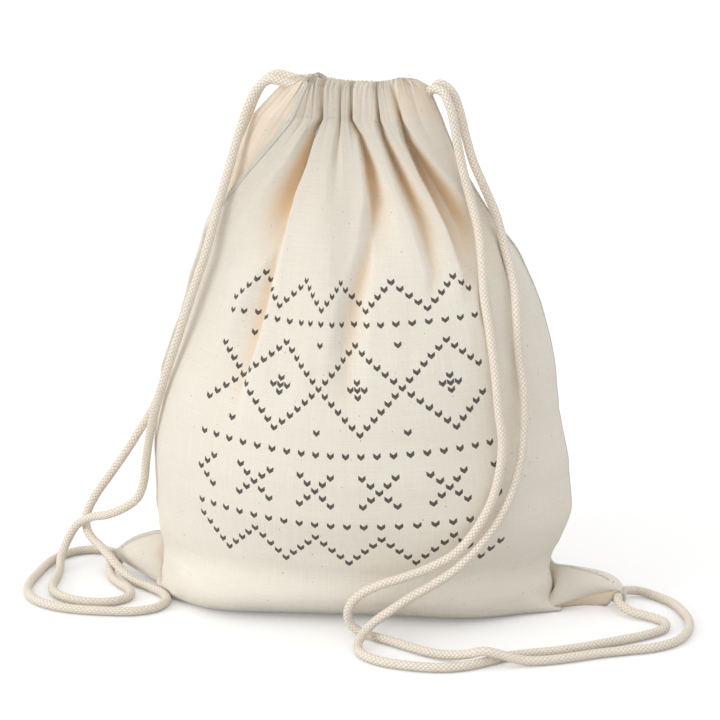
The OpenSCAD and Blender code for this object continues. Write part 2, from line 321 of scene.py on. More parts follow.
def braided_cord(u, v):
    """Diagonal plait on a tube: u is the turn round the cord, v the length along it."""
    turn = u * (BRAID_CELLS * math.pi)
    one = turn + v * BRAID_TURN
    two = turn - v * BRAID_TURN
    across_one, across_two = abs(one.sin()), abs(two.sin())
    over = ((one / math.pi).floor() + (two / math.pi).floor()) % 2.0 < 0.5
    narrow, broad = 0.8, 0.35
    bulge = over * (across_one ** narrow) * (across_two ** broad)
    bulge = bulge + (1 - over) * (across_one ** broad) * (across_two ** narrow)
    fibre = noise(u, v, 60, 2600, 3.0)
    tone = noise(u, v, 3, 60, 2.0)
    # Painted shade darkens the grooves between strands; fibre and tone add random colour.
    gap = (1 - bulge.ramp(0.05, 0.62)) * 0.75 + 0.3 * (fibre - 0.5) + 0.3 * (tone - 0.5)
    colour = mix(gap.most(0.0).least(1.0), BRAID, BRAID_GROOVE_SHADE)
    return colour, bulge * 5.0 + fibre, BRAID_RELIEF


def tack_thread(u, v):
    """Thread wound round a corner."""
    pitch = 1.1 * MM
    rows = abs((u * (2 * math.pi / pitch)).sin())
    fibre = noise(u, v, GRAIN, GRAIN, 3.0)
    # Painted shade darkens the grooves between turns of thread; fibre adds random colour.
    gap = (0.45 * (1 - rows) + 0.5 * (fibre - 0.3)).most(0.0).least(1.0)
    colour = mix(gap, THREAD, CALICO_DARK)
    return colour, rows * 4.0 + fibre, CLOTH_RELIEF


front_finish = finish_with(front_calico, roughness=0.92, sheen=0.10)
back_finish = finish_with(back_calico, roughness=0.92, sheen=0.10)
seam_finish = finish_with(seam_calico, roughness=0.92, sheen=0.10)
braid_finish = finish_with(braided_cord, roughness=0.88, sheen=0.15)
tack_finish = finish_with(tack_thread, roughness=0.9, sheen=0.10)


# Mesh helpers

def grid_faces(rows, cols, around=False):
    """Quads between the points of a grid; around joins the last column to the first."""
    r = np.arange(rows - 1)[:, None]
    c = np.arange(cols if around else cols - 1)[None, :]
    d = (c + 1) % cols
    low, high = r * cols, (r + 1) * cols
    return np.stack([low + c, low + d, high + d, high + c], -1).reshape(-1, 4)


def linked(name, points, faces):
    """New mesh object in the scene."""
    mesh = bpy.data.meshes.new(name)
    mesh.from_pydata(np.asarray(points).tolist(), [], [tuple(int(i) for i in f) for f in faces])
    return placed(name, mesh)


def level_square(name, half):
    """Square on the floor."""
    corners = [(-half, -half, 0), (half, -half, 0), (half, half, 0), (-half, half, 0)]
    return linked(name, corners, [(0, 1, 2, 3)])


def piece(name, points, faces, corner_uv, material):
    """Smooth mesh object from points, faces and one (u, v) for each face corner."""
    made = linked(name, points, faces)
    mesh = made.data
    layer = mesh.uv_layers.new(name="cloth")
    layer.data.foreach_set("uv", np.asarray(corner_uv, np.float32).ravel())
    mesh.polygons.foreach_set("use_smooth", np.ones(len(mesh.polygons), bool))
    mesh.materials.append(material)
    return made


def sheet_piece(name, grid, u, v, material, flip=False):
    """Sheet from a grid of points, with its flat place (u, v) at each point."""
    rows, cols = grid.shape[:2]
    faces = grid_faces(rows, cols)
    if flip:
        faces = faces[:, ::-1]
    uv = np.stack([u, v], -1).reshape(-1, 2)
    return piece(name, grid.reshape(-1, 3), faces, uv[faces.ravel()], material)


def finer(grid, times, axis):
    """Smooth curve through the points along one axis, with times as many steps."""
    g = np.moveaxis(grid, axis, 0)
    first, last = 2 * g[0] - g[1], 2 * g[-1] - g[-2]
    p = np.concatenate([first[None], g, last[None]])
    out = []
    for k in range(times):
        t = k / times
        out.append(0.5 * (2 * p[1:-2] + (p[2:-1] - p[:-3]) * t
                          + (2 * p[:-3] - 5 * p[1:-2] + 4 * p[2:-1] - p[3:]) * t * t
                          + (3 * p[1:-2] - p[:-3] - 3 * p[2:-1] + p[3:]) * t ** 3))
    body = np.stack(out, 1).reshape(-1, *g.shape[1:])
    return np.moveaxis(np.concatenate([body, g[-1:]]), 0, axis)


def lengths_along(points):
    """Length from the first point to each point of a polyline."""
    return np.concatenate([[0], np.cumsum(np.linalg.norm(np.diff(points, axis=0), axis=1))])


def placed_along(points, run, at):
    """Points of a polyline at given lengths along it."""
    return np.stack([np.interp(at, run, points[:, k]) for k in range(3)], -1)


def directions(path):
    """Unit direction of travel at each point of a path."""
    way = np.gradient(path, axis=0)
    return way / np.linalg.norm(way, axis=1)[:, None]


def evenly(points, step):
    """The same polyline with points about one step apart."""
    run = lengths_along(points)
    count = max(2, int(round(run[-1] / step)) + 1)
    return placed_along(points, run, np.linspace(0, run[-1], count))


def smoothed(values, times, axis=0):
    """Values evened out along one axis, with both ends left as they are."""
    out = np.moveaxis(values.copy(), axis, 0)
    for _ in range(times):
        out[1:-1] = (out[:-2] + 2 * out[1:-1] + out[2:]) / 4
    return np.moveaxis(out, 0, axis)


def ease(low, high, value):
    """0 below low, 1 above high, smooth between."""
    t = np.clip((value - low) / (high - low), 0, 1)
    return t * t * (3 - 2 * t)


def tube(path, sides, radius, relief=None):
    """Rings of a tube along a path, turned as little as possible, and the length along it.

    relief(turn, along) scales the radius.
    """
    way = directions(path)
    normal = np.zeros_like(path)
    some_side = (0.3, 0.5, 0.8)
    n = np.cross(way[0], some_side)
    for i, t in enumerate(way):
        n = n - t * (n @ t)
        n /= np.linalg.norm(n)
        normal[i] = n
    side = np.cross(way, normal)
    run = lengths_along(path)
    turn = np.arange(sides) / sides
    r = np.full((len(path), sides), radius)
    if relief is not None:
        r = r * relief(turn[None, :], run[:, None])
    angle = 2 * math.pi * turn[None, :, None]
    ring = np.cos(angle) * normal[:, None] + np.sin(angle) * side[:, None]
    return path[:, None] + ring * r[:, :, None], run


def tube_piece(name, rings, run, material):
    """Closed tube from its rings, with the turn and the length along it as its flat place."""
    rows, sides = rings.shape[:2]
    faces = grid_faces(rows, sides, around=True)
    r = np.repeat(np.arange(rows - 1), sides)
    c = np.tile(np.arange(sides), rows - 1)
    turns = np.stack([c, c + 1, c + 1, c], -1) / sides
    lengths = np.stack([run[r], run[r], run[r + 1], run[r + 1]], -1)
    points = np.concatenate([rings.reshape(-1, 3), rings[[0, -1]].mean(1)])
    start, stop = rows * sides, rows * sides + 1
    k = np.arange(sides)
    beside = (k + 1) % sides
    last = (rows - 1) * sides
    head = np.stack([beside, np.full(sides, start), k], -1)
    tail = np.stack([last + k, np.full(sides, stop), last + beside], -1)
    all_faces = [*faces[:, ::-1], *head, *tail]
    uv = np.stack([turns, lengths], -1)[:, ::-1].reshape(-1, 2)
    cap = np.concatenate([np.zeros((3 * sides, 2)), np.tile([[0.0, run[-1]]], (3 * sides, 1))])
    return piece(name, points, all_faces, np.concatenate([uv, cap]), material)


# Cords from the hem to the corner, in millimetres; a point without a height lies on the floor

LEFT_FRONT_ROUTE = [
    (-48, -11, 322), (-55, -11, 322), (-62, -11, 316), (-67, -12, 306), (-71, -14, 294),
    (-74, -18, 282), (-77, -23, 268), (-81, -29, 251), (-85, -36, 231), (-89, -40, 215),
    (-95, -42, 197), (-103, -43, 173), (-112, -41, 148), (-119, -36, 130), (-126, -28, 112),
    (-132, -19, 94), (-136, -13, 79), (-139, -9, 64), (-144, -8, 52), (-154, -7, 44),
    (-166, -4, 38), (-178, 1, 34), (-189, 5, 27), (-196, 5, 16), (-198, -3, 7), (-195, -15),
    (-192, -29), (-190, -43), (-184, -57), (-172, -66), (-157, -69), (-143, -65), (-136, -54),
    (-140, -42), (-149, -33), (-157, -23), (-162, -12, 6),
]
LEFT_BACK_ROUTE = [
    (-48, 11, 322), (-55, 11, 323), (-62, 11, 319), (-68, 12, 310), (-73, 14, 299), (-79, 18, 285),
    (-84, 23, 267), (-89, 29, 249), (-96, 31, 227), (-106, 31, 203), (-115, 30, 176),
    (-123, 29, 150), (-131, 24, 126), (-139, 18, 107), (-148, 14, 91), (-158, 13, 75),
    (-170, 15, 58), (-180, 17, 44), (-186, 15, 31), (-184, 9, 23), (-178, 2, 19), (-170, -6, 17),
    (-161, -14, 13), (-151, -21, 7), (-140, -28), (-128, -36), (-117, -45), (-111, -57),
    (-114, -70), (-126, -79), (-142, -82), (-158, -83), (-174, -81), (-189, -74), (-200, -61),
    (-205, -44), (-206, -26), (-206, -8), (-203, 9), (-194, 22), (-181, 26), (-170, 21, 4),
    (-164, 13, 6),
]
RIGHT_FRONT_ROUTE = [
    (38, -6, 313), (44, -6, 319), (51, -8, 318), (55, -10, 312), (58, -11, 304), (61, -12, 289),
    (65, -13, 272), (70, -15, 255), (76, -22, 238), (80, -31, 220), (83, -39, 201), (88, -47, 181),
    (92, -52, 160), (95, -56, 139), (98, -59, 119), (97, -62, 101), (93, -65, 84), (85, -72, 68),
    (74, -79, 55), (60, -84, 47), (45, -88, 41), (31, -90, 36), (19, -90, 29), (12, -88, 20),
    (11, -86, 11), (16, -86, 5), (24, -88), (35, -93), (48, -100), (62, -107), (76, -112, 4),
    (88, -116, 7), (98, -117, 10), (108, -115, 8), (120, -111, 4), (134, -105), (148, -97),
    (162, -88), (177, -80), (192, -72), (204, -59), (209, -43), (209, -26), (204, -10), (196, 5),
    (184, 16), (173, 20, 4), (165, 13, 6),
]
RIGHT_BACK_ROUTE = [
    (40, 11, 315), (46, 11, 320), (54, 10, 315), (59, 9, 303), (63, 7, 289), (68, 4, 275),
    (76, -1, 260), (84, -5, 244), (91, -14, 226), (98, -24, 208), (102, -35, 188), (104, -38, 167),
    (108, -43, 146), (109, -48, 124), (108, -53, 106), (104, -58, 88), (97, -64, 72),
    (87, -73, 58), (75, -81, 46), (62, -86, 37), (49, -89, 29), (38, -91, 21), (29, -92, 14),
    (23, -96, 8), (21, -105, 4), (25, -117), (36, -126), (50, -130), (64, -131), (78, -129),
    (90, -123), (100, -114), (110, -104), (122, -97), (136, -90), (150, -81), (163, -71),
    (176, -61), (187, -51), (195, -40), (194, -29), (185, -22), (173, -18, 4), (165, -11, 6),
]
ON_FLOOR = 3  # height of a cord's middle line there
# How far inside the ends of the hem the cords leave it
LEFT_INSET, RIGHT_INSET = 17 * MM, 10 * MM
CORD_SIDES, CORD_STEP = 20, 0.8 * MM


def laid(route):
    """Points of a route in metres."""
    return [tuple(c * MM for c in (*p, ON_FLOOR)[:3]) for p in route]


def cord_path(side, z, front_route, back_route):
    """One cord: from its corner up the front, round inside the hems and down the back."""
    near_x = MOUTH_LEFT + LEFT_INSET if side < 0 else MOUTH_RIGHT - RIGHT_INSET
    bend_x = MOUTH_RIGHT - FAR_BEND if side < 0 else MOUTH_LEFT + FAR_BEND
    inside = [(x, -HEM_Y, z) for x in np.linspace(near_x, bend_x, 8)]
    for a in np.radians(np.linspace(-90, 90, 9)[1:-1]):
        inside.append((bend_x - side * HEM_Y * math.cos(a), HEM_Y * math.sin(a), z))
    inside += [(x, HEM_Y, z) for x in np.linspace(bend_x, near_x, 8)]
    start = [(side * TIP_X, side * TACK_Y, TACK_Z)]
    stop = [(side * TIP_X, -side * TACK_Y, TACK_Z)]
    points = start + laid(front_route[::-1]) + inside + laid(back_route) + stop
    return evenly(finer(np.array(points, float), 12, 0), CORD_STEP)


def braid_relief(turn, along):
    """Slight swelling of the cord's strands."""
    one = turn * BRAID_CELLS * math.pi + along * BRAID_TURN
    two = turn * BRAID_CELLS * math.pi - along * BRAID_TURN
    return 1 + 0.05 * np.sqrt(np.abs(np.sin(one) * np.sin(two))) - 0.03


left_path = cord_path(-1, UPPER_Z, LEFT_FRONT_ROUTE, LEFT_BACK_ROUTE)
right_path = cord_path(1, LOWER_Z, RIGHT_FRONT_ROUTE, RIGHT_BACK_ROUTE)
for name, path, body, nodes in (
    ("left_braided_cord", left_path, "left_cord",
     ("left_cord_hairpin", "left_cord_front_strand", "left_cord_back_strand")),
    ("right_braided_cord", right_path, "right_cord",
     ("right_cord_hairpin", "right_cord_front_strand", "right_cord_back_strand")),
):
    rings, run = tube(path, CORD_SIDES, CORD_R, braid_relief)
    cord = tube_piece(name, rings, run, braid_finish)
    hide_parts(*nodes)
    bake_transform(cord)


# Where the cloth is gathered under the hem: share of the cloth's width, and x and y in millimetres
FRONT_GATHER = [
    (0, -38, -11), (0.14, -30, -17), (0.29, -19.6, -6), (0.45, -11.5, -18), (0.60, -3.1, -6),
    (0.68, 5.5, -16.5), (0.76, 14, -6), (0.81, 21, -15), (0.86, 27.4, -4), (0.93, 35, -11),
    (1, 42, 0),
]
BACK_GATHER = [
    (0, -38, -11), (0.04, -48, -10), (0.09, -57, -3), (0.14, -57, 7), (0.21, -46, 15),
    (0.29, -36, 6), (0.38, -26, 17), (0.47, -17, 7), (0.56, -8, 17), (0.65, 2, 7), (0.74, 12, 16),
    (0.83, 22, 7), (0.92, 34, 14), (1, 42, 0),
]


def gathered(knots, shares):
    """x and y along the gathered mouth for shares of the cloth's width."""
    knots = np.array(knots, float)
    k = np.clip(np.searchsorted(knots[:, 0], shares, side="right") - 1, 0, len(knots) - 2)
    low, high = knots[k].T, knots[k + 1].T
    t = (shares - low[0]) / (high[0] - low[0])
    x = low[1] + (high[1] - low[1]) * t
    y = low[2] + (high[2] - low[2]) * ease(0, 1, t)
    return x * MM, y * MM


def filled_cloth(cols, rows, frames):
    """Simulates the flat bag being gathered and filled. Returns front, back and heights."""
    unit = 10.0  # the solver is steadier in decimetres
    gather_end = 28
    scene = bpy.context.scene
    shares = np.linspace(0, 1, cols + 1)
    heights = np.linspace(0, CLOTH_H, rows + 1)
    index = np.zeros((2, rows + 1, cols + 1), int)
    flat, target = [], []
    for side, knots in ((0, FRONT_GATHER), (1, BACK_GATHER)):
        mouth_x, mouth_y = gathered(knots, shares)
        for j, height in enumerate(heights):
            for i, share in enumerate(shares):
                if side == 1 and (j == 0 or i in (0, cols)):
                    index[1, j, i] = index[0, j, i]
                    continue
                index[side, j, i] = len(flat)
                belly = 4 * MM * (1 - abs(2 * share - 1) ** 4) * min(1, height / 0.02)
                y = -belly if side == 0 else belly
                flat.append(((share - 0.5) * CLOTH_W, y, height + 1 * MM))
                target.append((mouth_x[i], mouth_y[i], STITCH_Z - (CLOTH_H - height)))
    quads = grid_faces(rows + 1, cols + 1)
    faces = [*index[0].ravel()[quads], *index[1].ravel()[quads][:, ::-1]]
    bag = linked("flat_bag", np.array(flat) * unit, faces)
    bag.shape_key_add(name="flat")
    drawn = bag.shape_key_add(name="gathered")
    drawn.data.foreach_set("co", (np.array(target) * unit).astype(np.float32).ravel())
    for value, at in ((0, 1), (1, gather_end)):
        drawn.value = value
        drawn.keyframe_insert("value", frame=at)
    held = bag.vertex_groups.new(name="held")
    held.add(np.unique(index[:, rows:]).tolist(), 1.0, "REPLACE")

    turns, rings = 40, 24
    half, middle, squareness = (0.118, 0.080, 0.100), 0.115, 2.8
    ball = []
    for p in np.linspace(-89, 89, rings) * math.pi / 180:
        for a in np.linspace(0, 2 * math.pi, turns, endpoint=False):
            x, y, z = math.cos(p) * math.cos(a), math.cos(p) * math.sin(a), math.sin(p)
            corner_reach = (abs(x) ** squareness + abs(z) ** squareness) ** (1 / squareness)
            square = math.hypot(x, z) / max(corner_reach, 1e-6)
            ball.append((half[0] * x * square, half[1] * y, half[2] * z * square + middle))
    ground = level_square("sim_ground", 8)
    stuffing = linked("sim_stuffing", np.array(ball) * unit, grid_faces(rings, turns, around=True))
    for helper, thickness, friction in ((ground, 0.01, 10), (stuffing, 0.015, 1)):
        helper.modifiers.new("collision", "COLLISION")
        helper.collision.thickness_outer = thickness
        helper.collision.cloth_friction = friction
    stuffing.collision.use_culling = False
    for value, at in ((0.03, 1), (1, gather_end)):
        stuffing.scale = (1, value, 1)
        stuffing.keyframe_insert("scale", frame=at)

    cloth = bag.modifiers.new("cloth", "CLOTH")
    for key, value in {
        "quality": 8, "mass": 0.1, "tension_stiffness": 30, "compression_stiffness": 30,
        "shear_stiffness": 6, "bending_model": "ANGULAR", "bending_stiffness": 0.6,
        "tension_damping": 2, "compression_damping": 2, "shear_damping": 2, "bending_damping": 0.5,
        "air_damping": 1, "vertex_group_mass": "held", "use_pressure": True,
        "uniform_pressure_force": 1.25, "fluid_density": 0.25,
    }.items():
        setattr(cloth.settings, key, value)
    cloth.collision_settings.distance_min = 0.01
    cloth.collision_settings.collision_quality = 3
    cloth.collision_settings.use_self_collision = False
    cloth.point_cache.frame_end = frames
    for at in range(1, frames + 1):
        scene.frame_set(at)
    settled = bag.evaluated_get(bpy.context.evaluated_depsgraph_get()).to_mesh()
    points = np.zeros(3 * len(settled.vertices), np.float32)
    settled.vertices.foreach_get("co", points)
    points = points.reshape(-1, 3).astype(float) / unit
    for helper in (bag, ground, stuffing):
        data = helper.data
        bpy.data.objects.remove(helper)
        bpy.data.meshes.remove(data)
    scene.frame_set(1)
    return points[index[0]], points[index[1]], heights


front, back, heights = filled_cloth(cols=64, rows=66, frames=60)


def as_loop(front, back):
    """One closed loop of columns: the front from left to right, then the back to the left."""
    return np.concatenate([front, back[:, -2:0:-1]], 1)


def from_loop(loop, cols):
    """Front and back again, which share the columns at both side seams."""
    back = np.concatenate([loop[:, :1], loop[:, :cols - 1:-1], loop[:, cols - 1:cols]], 1)
    return loop[:, :cols], back


# Easing of the outline: height, and how far the left and right sides move, in millimetres
OUTLINE = np.array([
    (0, 0, 0), (15, -2, 0), (35, -6, -2), (60, -6.5, 9), (90, -10.5, 8.5), (130, -11.5, 4.5),
    (170, -10.5, 5.5), (200, -16, 11.5), (220, -16.5, 13.5), (240, -26, 10), (260, -18, 2),
    (280, -8, 0), (301, 0, 0),
]) * MM


def eased(front, back):
    """Centres the corners over the base and follows the outline of the standing bag."""
    middle = (front[0, 0, 0] + front[0, -1, 0]) / 2
    floor = min(front[..., 2].min(), back[..., 2].min())
    both = np.concatenate([front, back], 1)
    x, z = both[..., 0], both[..., 2]
    x -= middle * (1 - ease(0.12, 0.28, z))
    low, high = x.min(1, keepdims=True), x.max(1, keepdims=True)
    place = (x - (low + high) / 2) / ((high - low) / 2)
    x += np.interp(z, OUTLINE[:, 0], OUTLINE[:, 1]) * ease(0.15, 0.95, -place)
    x += np.interp(z, OUTLINE[:, 0], OUTLINE[:, 2]) * ease(0.15, 0.95, place)
    z -= floor * (1 - ease(0.0, 0.05, z))
    return both[:, :front.shape[1]], both[:, front.shape[1]:]


# Filled bag: height and half depth in millimetres, and how its sides round off (0.5: an ellipse)
FULLNESS = np.array([
    (0, 45, 0.40), (20, 64, 0.49), (40, 76.5, 0.55), (70, 86.5, 0.59), (95, 88, 0.60),
    (130, 83.5, 0.59), (165, 74.5, 0.57), (200, 62, 0.52), (230, 49.5, 0.47), (260, 35, 0.42),
    (300, 16, 0.40),
])


def filled_out(front, back):
    """Swells the cloth to the plump shape of the filled bag and keeps its own small folds."""
    cols = front.shape[1]
    loop = as_loop(front, back)
    x, y, z = loop[..., 0], loop[..., 1], loop[..., 2] / MM
    levels = np.arange(20, 301, 5)
    near = [np.abs(z - level) < 5 for level in levels]
    left = np.interp(z, levels, [x[n].min() for n in near])
    right = np.interp(z, levels, [x[n].max() for n in near])
    deep = np.interp(z, FULLNESS[:, 0], FULLNESS[:, 1]) * MM
    bow = np.interp(z, FULLNESS[:, 0], FULLNESS[:, 2])
    across, out = (2 * x - left - right) / (right - left), y / deep
    reach = np.maximum(np.hypot(across, out), 1e-6)
    across, out = across / reach, np.abs(out / reach)
    low, high = np.zeros(x.shape), np.full(x.shape, 2.0)
    for _ in range(30):
        middle = (low + high) / 2
        inside = middle * out < np.maximum(0, 1 - (middle * across) ** 2) ** bow
        low, high = np.where(inside, middle, low), np.where(inside, high, middle)
    plain = reach.copy()
    for _ in range(round(30 * (cols / 65) ** 2)):
        plain = (np.roll(plain, 1, 1) + 2 * plain + np.roll(plain, -1, 1)) / 4
    share = 0.85 * ease(14, 34, z) * (1 - ease(262, 294, z))
    grown = 1 + (low / plain - 1) * share
    middle_x = (left + right) / 2
    loop = np.stack([middle_x + (x - middle_x) * grown, y * grown, loop[..., 2]], -1)
    return from_loop(loop, cols)


def turned(front, back):
    """Slides the cloth round the bag, so that the left seam is further forward at the shoulder."""
    most, spread = 16 * MM, 55 * MM
    loop = np.concatenate([as_loop(front, back), front[:, :1]], 1)
    out = loop[:, :-1].copy()
    for j, row in enumerate(loop):
        z = row[0, 2] / MM
        slide = most * ease(130, 200, z) * (1 - ease(262, 296, z))
        if slide == 0:
            continue
        run = lengths_along(row)
        away = np.minimum(run, run[-1] - run)[:-1]
        at = (run[:-1] + slide * np.exp(-(away / spread) ** 2)) % run[-1]
        out[j] = placed_along(row, run, at)
    return from_loop(out, front.shape[1])


def calmed(front, back):
    """Softens the folds of the gathering, fully below the shoulders and less towards the hem."""
    cols = front.shape[1]
    loop = as_loop(front, back)
    out = loop.copy()
    width = (cols - 1) / 64 * 6.5
    reach = int(3 * width) + 1
    shifts = range(-reach, reach + 1)
    kernel = np.exp(-0.5 * (np.array(shifts) / width) ** 2)
    kernel /= kernel.sum()
    for j, height in enumerate(heights / CLOTH_H):
        soft = sum(k * np.roll(loop[j], d, axis=0) for k, d in zip(kernel, shifts))
        kept = 0.12 * ease(0.4, 0.6, height) + 0.88 * ease(0.88, 1.0, height)
        out[j] += (soft - loop[j]) * (1 - kept) * ease(0.06, 0.2, height)
    return from_loop(out, cols)


def outward(grid, face):
    """Level direction away from the inside of the bag at each point."""
    across, along = np.gradient(grid, axis=1), np.gradient(grid, axis=0)
    n = np.cross(across, along)
    n[..., 2] = 0
    n = smoothed(n, 12, axis=1)
    n /= np.maximum(np.linalg.norm(n, axis=-1, keepdims=True), 1e-9)
    return n * (1 if face < 0 else -1)


# Main folds, in millimetres: the line of the valley as height and x, its depth, and its reach to
# the left and right
FRONT_FOLDS = [
    ([(301, -20), (294, -24), (273, -30), (258, -36), (241, -40), (215, -44)], 15, 11, 4),
    ([(262, -35), (239, -40), (194, -48), (158, -57), (140, -61)], 7, 4.5, 2.5),
    ([(301, -9), (285, -9), (262, -8)], 5, 4, 4),
    ([(301, -3), (292, 3), (275, 9), (255, 14), (225, 18)], 13, 3.5, 8),
    ([(262, 14), (230, 15), (196, 9), (161, 7), (145, 6)], 5.5, 3, 3),
    ([(301, 14), (292, 17), (273, 26), (259, 33), (243, 42), (215, 54)], 13, 3.5, 8),
    ([(301, 27), (288, 32), (270, 43), (255, 53), (239, 63), (215, 74)], 16, 3.5, 10),
]
BACK_FOLDS = [
    ([(301, -33), (270, -52), (240, -66), (205, -76)], 12, 7, 9),
    ([(301, -16), (270, -27), (240, -36), (200, -40)], 14, 7, 9),
    ([(301, 0), (270, 0), (240, -2), (215, -3)], 11, 6, 8),
    ([(301, 14), (270, 20), (240, 27), (200, 34)], 14, 8, 7),
    ([(301, 28), (270, 38), (240, 52), (210, 64)], 12, 9, 7),
]
FOLD_TOP = 301  # height of the stitching under the hem, in millimetres


def fold_depth(x, z, folds):
    """Depth of the main folds at x and height z: creases at the hem that fan out below.

    The side with the shorter reach keeps a crisp edge. All in millimetres.
    """
    depth = np.zeros(np.broadcast(x, z).shape)
    for line, deep, left, right in folds:
        line = np.array(line, float)[::-1]
        beside = x - np.interp(z, line[:, 0], line[:, 1])
        below = np.maximum(0, FOLD_TOP - z)
        soft, crisp = 0.32 + below / 30, 0.32 + below / 75
        left_reach = left * (crisp if left < right else soft)
        right_reach = right * (crisp if right < left else soft)
        shape = 1 - ease(0, 1, np.where(beside < 0, -beside / left_reach, beside / right_reach))
        foot, head = line[0, 0], line[-1, 0]
        run = ease(foot - 25, foot + 50, z) * (1 - 0.45 * ease(272, FOLD_TOP, z))
        if head < FOLD_TOP:
            run = run * (1 - ease(head - 14, head, z))
        depth = np.maximum(depth, deep * run * shape)
    return depth


def off_sides(width):
    """0 at both side seams, 1 from a share of the cloth's width inwards."""
    return ease(0, width, np.minimum(fine_shares, 1 - fine_shares))


def folded(grid, folds, face):
    """Presses the main folds into the cloth."""
    depth = fold_depth(grid[..., 0] / MM, grid[..., 2] / MM, folds)
    return grid - outward(grid, face) * (depth * off_sides(SIDE_FADE) * MM)[..., None]


front, back = calmed(front, back)
front, back = turned(*filled_out(*eased(front, back)))

PLY = 0.4 * MM
SIDE_FADE = 0.03  # share of the cloth's width over which folds and pleats fade to a side seam
COL_STEPS, ROW_STEPS = 4, 2
front, back = (finer(finer(grid, ROW_STEPS, 0), COL_STEPS, 1) for grid in (front, back))
fine_shares = np.linspace(0, 1, front.shape[1])
fine_heights = np.linspace(0, CLOTH_H, front.shape[0])
for grid in (front, back):
    grid[..., 2] = np.maximum(grid[..., 2], PLY)


def clear_of_cords(grid):
    """Presses the cloth in under the cords that lie on it."""
    room = CORD_R + 0.9 * MM
    spread = 1.7 * room
    body_end, half_width, half_depth = 0.16, 0.132, 0.086
    out = grid.reshape(-1, 3).copy()
    for path in (left_path, right_path):
        for c, t in zip(path[::3], directions(path)[::3]):
            if c[2] > STITCH_Z - 2 * MM or abs(c[0]) > body_end:
                continue
            n = np.array((-c[0] / half_width ** 2, -c[1] / half_depth ** 2, 0))
            n -= t * (n @ t)
            n /= np.linalg.norm(n)
            d = out - c
            near = np.abs(d @ t) < 2.0 * MM
            depth = d @ n
            near &= (depth < room) & (depth > -30 * MM)
            if not near.any():
                continue
            flat = d[near] - np.outer(d[near] @ t, t) - np.outer(depth[near], n)
            lateral = np.linalg.norm(flat, axis=1)
            need = room * (1 - (lateral / spread) ** 2)
            push = np.maximum(0, need - depth[near])
            push[lateral > 4 * room] = 0
            out[near] += np.outer(push, n)
    return out.reshape(grid.shape)


# Middle line of a gathered hem, seen from above: share of the cloth's width, x and y in millimetres
FRONT_HEM_LINE = [
    (0, -38, -11.2), (0.1, -33, -11.2), (0.29, -20, -11.2), (0.60, -3, -11.2), (0.76, 14, -11.2),
    (0.88, 30, -11), (0.96, 39, -8), (1, 42, -2),
]
BACK_HEM_LINE = [
    (0, -38, -11.2), (0.04, -47, -10.5), (0.09, -57, -4), (0.14, -57, 4), (0.21, -48, 10.5),
    (0.29, -37, 11.2), (0.56, -8, 11.2), (0.83, 22, 11.2), (0.93, 36, 9), (1, 42, -2),
]
# Creases of the front hem, x in millimetres
FRONT_CREASES = [
    -60, -38, -31, -25.7, -22.7, -19.6, -16, -8.6, -5.5, -2.5, 4.2, 8.5, 11.6, 14.6, 18.9, 22, 25,
    28, 35, 41, 48,
]
# Creases of the back hem, in millimetres along it
BACK_CREASES = [5.3 * k + 1.2 * math.sin(1.9 * k) for k in range(-1, 32)]


def puffs(at, creases):
    """Soft rolls between creases: -0.6 in a crease, up to 0.4 in the middle of a wide roll."""
    creases = np.asarray(creases, float)
    k = np.clip(np.searchsorted(creases, at, side="right") - 1, 0, len(creases) - 2)
    gap = creases[k + 1] - creases[k]
    t = np.clip((at - creases[k]) / gap, 0, 1)
    return np.minimum(1, gap / 5.5) * (4 * t * (1 - t)) ** 0.6 - 0.6


# Rise of the hem's ends above its middle, x and height in millimetres
HEM_RISE = [
    (-60, 3), (-44, 4), (-38, 4), (-29, 2.5), (-19, 0.8), (-10, 0), (18, 0), (27, 2), (33, 3),
    (40, 2), (60, 1),
]
# From the middle line to the wall of the hem, and how much further its foot stands out
HEM_WALL, HEM_FOOT = 3.6 * MM, 5


def hem_middle(hem_line, face, h):
    """Middle line of a hem at a share of its height, and its outward direction.

    Both ends draw in towards the top.
    """
    x, y = (smoothed(c, 8) for c in gathered(hem_line, fine_shares))
    left_draw = np.clip(-0.75 * (x + 24 * MM), 0, 19 * MM)
    right_draw = np.clip(0.5 * (x - 10 * MM), 0, 7 * MM)
    x = x + h * left_draw - h * right_draw
    p = np.stack([x, y, np.zeros(len(x))], -1)
    way = directions(p)
    out = -face * np.stack([way[:, 1], -way[:, 0], np.zeros(len(way))], -1)
    at_seam = ease(0.9, 1, fine_shares)[:, None]
    out = out * (1 - at_seam) + np.array((1, 0, 0)) * at_seam
    return p, out / np.linalg.norm(out, axis=1)[:, None]


def drawn_up(grid, hem_line, face):
    """Draws the cloth straight from the shoulders to the stitching under the hem."""
    shoulder = 0.222
    middle, out = hem_middle(hem_line, face, 0)
    mouth = middle + out * (HEM_WALL + HEM_FOOT * MM) + np.array((0, 0, STITCH_Z))
    slope = np.gradient(grid, fine_heights, axis=0)
    start, way, done = np.zeros_like(mouth), np.zeros_like(mouth), np.zeros(len(mouth))
    for i in range(len(mouth)):
        done[i] = np.interp(shoulder, grid[:, i, 2], fine_heights)
        start[i] = placed_along(grid[:, i], fine_heights, done[i])
        way[i] = placed_along(slope[:, i], fine_heights, done[i])
    way, start = smoothed(way, 60), smoothed(start, 60)
    t = np.clip((fine_heights[:, None] - done) / (CLOTH_H - done), 0, 1)[..., None]
    leave = way * (CLOTH_H - done)[:, None]
    arrive = (mouth - start) * 0.9
    straight = ((1 + 2 * t) * (1 - t) ** 2 * start + t * (1 - t) ** 2 * leave
                + t * t * (3 - 2 * t) * mouth - t * t * (1 - t) * arrive)
    right_dip = 16 * MM * ease(0.7, 1, fine_shares)
    straight[..., 0] -= t[..., 0] * (1 - t[..., 0]) * right_dip
    w = ease(0, 0.2, t)
    return grid * (1 - w) + straight * w


